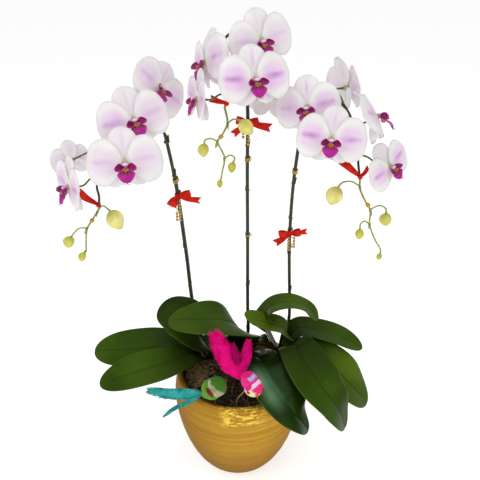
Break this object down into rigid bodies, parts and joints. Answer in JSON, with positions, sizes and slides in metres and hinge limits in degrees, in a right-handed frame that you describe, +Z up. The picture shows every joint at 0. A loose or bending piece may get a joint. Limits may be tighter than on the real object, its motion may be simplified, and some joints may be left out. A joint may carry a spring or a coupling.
{
  "type": "potted moth orchid",
  "caption": "Potted moth orchid: strap leaves in a round gold pot, arching spikes of white blooms with magenta lips, hanging bud sprays, red bows, bead strings and craft birds.",
  "frame": {"origin": "centre of the pot's base, on the surface it stands on", "axes": "+Z up, +X to the right and -Y to the front as the picture shows it"},
  "size_m": [0.4665, 0.2334, 0.7109],
  "materials": {
    "pot": "satin",
    "medium": "matte",
    "leaf": "satin",
    "stem": "satin",
    "bud": "satin",
    "tepal": "satin",
    "lip": "satin",
    "ribbon": "satin",
    "bead": "gloss",
    "tie": "satin",
    "stake": "satin",
    "bird_pink": "matte",
    "bird_green": "matte",
    "feather_pink": "matte",
    "feather_teal": "matte"
  },
  "bodies": {
    "root": {"pot": "pot", "medium": "medium", "plant_centre": "leaf", "plant_left": "leaf", "plant_right": "leaf", "spike_centre": "stem", "spike_left": "stem", "spike_right": "stem", "buds_centre": "bud", "buds_left": "bud", "buds_right": "bud", "stake_centre": "stake", "stake_left": "stake", "stake_right": "stake", "tie_centre": "tie", "tie_left": "tie", "tie_right": "tie", "bow_centre": "ribbon", "bow_left": "ribbon", "bow_right": "ribbon", "ribbon_centre": "ribbon", "ribbon_left": "ribbon", "ribbon_right": "ribbon", "beads_centre": "bead", "beads_left": "bead", "beads_right": "bead", "bloom_centre_1": "tepal", "bloom_centre_2": "tepal", "bloom_centre_3": "tepal", "bloom_centre_4": "tepal", "bloom_centre_5": "tepal", "bloom_left_1": "tepal", "bloom_left_2": "tepal", "bloom_left_3": "tepal", "bloom_left_4": "tepal", "bloom_left_5": "tepal", "bloom_right_1": "tepal", "bloom_right_2": "tepal", "bloom_right_3": "tepal", "bloom_right_4": "tepal", "bloom_right_5": "tepal", "lip_centre_1": "lip", "lip_centre_2": "lip", "lip_centre_3": "lip", "lip_centre_4": "lip", "lip_centre_5": "lip", "lip_left_1": "lip", "lip_left_2": "lip", "lip_left_3": "lip", "lip_left_4": "lip", "lip_left_5": "lip", "lip_right_1": "lip", "lip_right_2": "lip", "lip_right_3": "lip", "lip_right_4": "lip", "lip_right_5": "lip", "bird_green": "bird_green", "bird_pink": "bird_pink", "feathers_green": "feather_teal", "feathers_pink": "feather_pink"}
  },
  "joints": []
}
